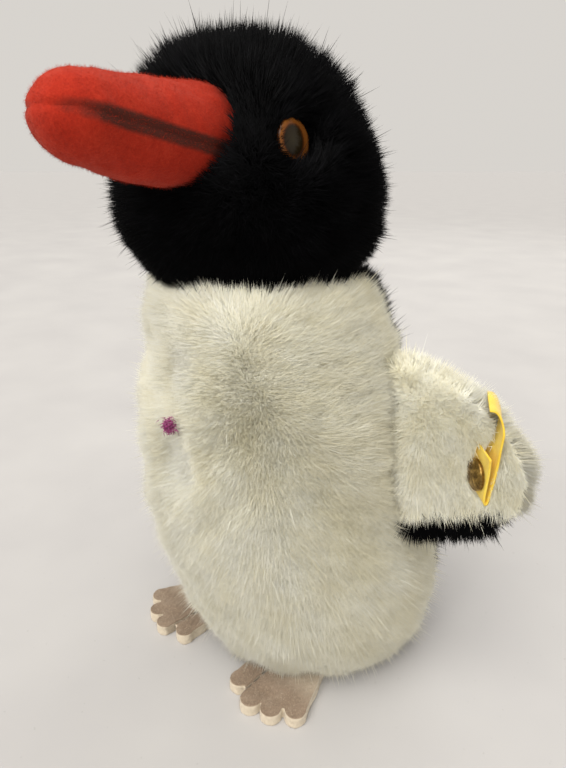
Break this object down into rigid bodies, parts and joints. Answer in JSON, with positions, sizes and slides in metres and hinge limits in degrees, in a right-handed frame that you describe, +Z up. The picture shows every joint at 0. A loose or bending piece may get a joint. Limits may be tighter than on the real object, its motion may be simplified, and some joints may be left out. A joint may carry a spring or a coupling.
{
  "type": "plush penguin",
  "caption": "Upright plush penguin with a black swivel head, white belly, felt beak and splayed feet, glass eyes, two sewn-on wings that flap, and a folded ribbon riveted to the left wing.",
  "frame": {"origin": "middle of the flat base that the penguin sits on, at table height", "axes": "+Z up, -Y the way the belly and feet face, +X the penguin's own left side; the neck axis is parallel to Z at Y = -0.021"},
  "size_m": [0.1138, 0.1074, 0.1376],
  "materials": {
    "white_plush": "woven pile about 6 mm deep, off-white, slightly yellowed",
    "black_plush": "woven pile about 6 mm deep, black with a soft grey sheen",
    "filling": "packed wood wool and cotton",
    "backing_cloth": "plain woven cotton",
    "red_felt": "orange-red wool felt with a sprayed dark mouth line",
    "tan_felt": "thick felt, sprayed tan on top, cream at the cut edges",
    "hardboard": "pressed fibreboard",
    "steel": "bright wire and stamped washers",
    "eye_glass": "clear glass, amber-brown behind with a dark pupil",
    "black_thread": "waxed linen thread",
    "magenta_thread": "knotted cotton thread",
    "yellow_ribbon": "stiff yellow woven ribbon",
    "brass": "plain aged brass"
  },
  "bodies": {
    "body": {"belly_panel": "white_plush", "back_panel_left": "black_plush", "back_panel_right": "black_plush", "base_panel": "white_plush", "body_stuffing": "filling", "tail": "black_plush", "foot_left": "tan_felt", "foot_right": "tan_felt", "breast_thread": "magenta_thread", "body_disc": "hardboard", "body_washer": "steel", "neck_pin": "steel"},
    "head": {"head_disc": "hardboard", "head_washer": "steel", "head_panel_left": "black_plush", "head_panel_right": "black_plush", "head_gusset": "black_plush", "chin_panel": "black_plush", "head_base_cloth": "backing_cloth", "head_stuffing": "filling", "beak_upper": "red_felt", "beak_lower": "red_felt", "beak_stuffing": "filling", "eye_left": "eye_glass", "eye_right": "eye_glass", "eye_loop_left": "steel", "eye_loop_right": "steel", "eye_thread": "black_thread"},
    "wing_left": {"wing_left_inner": "white_plush", "wing_left_outer": "black_plush", "tag_ribbon": "yellow_ribbon", "tag_rivet": "brass", "tag_rivet_washer": "brass"},
    "wing_right": {"wing_right_inner": "white_plush", "wing_right_outer": "black_plush"}
  },
  "joints": [
    {"name": "head_swivel", "type": "hinge", "parent": "body", "child": "head", "pos_m": [0, -0.021, 0.097], "axis": [0, 0, 1], "continuous": true},
    {"name": "wing_left_swing", "type": "hinge", "parent": "body", "child": "wing_left", "pos_m": [0.0354, -0.007, 0.044], "axis": [-0.1961, 0, 0.9806], "range_deg": [-35, 25]},
    {"name": "wing_right_swing", "type": "hinge", "parent": "body", "child": "wing_right", "pos_m": [-0.0354, -0.007, 0.044], "axis": [-0.1961, 0, -0.9806], "range_deg": [-35, 25]}
  ]
}
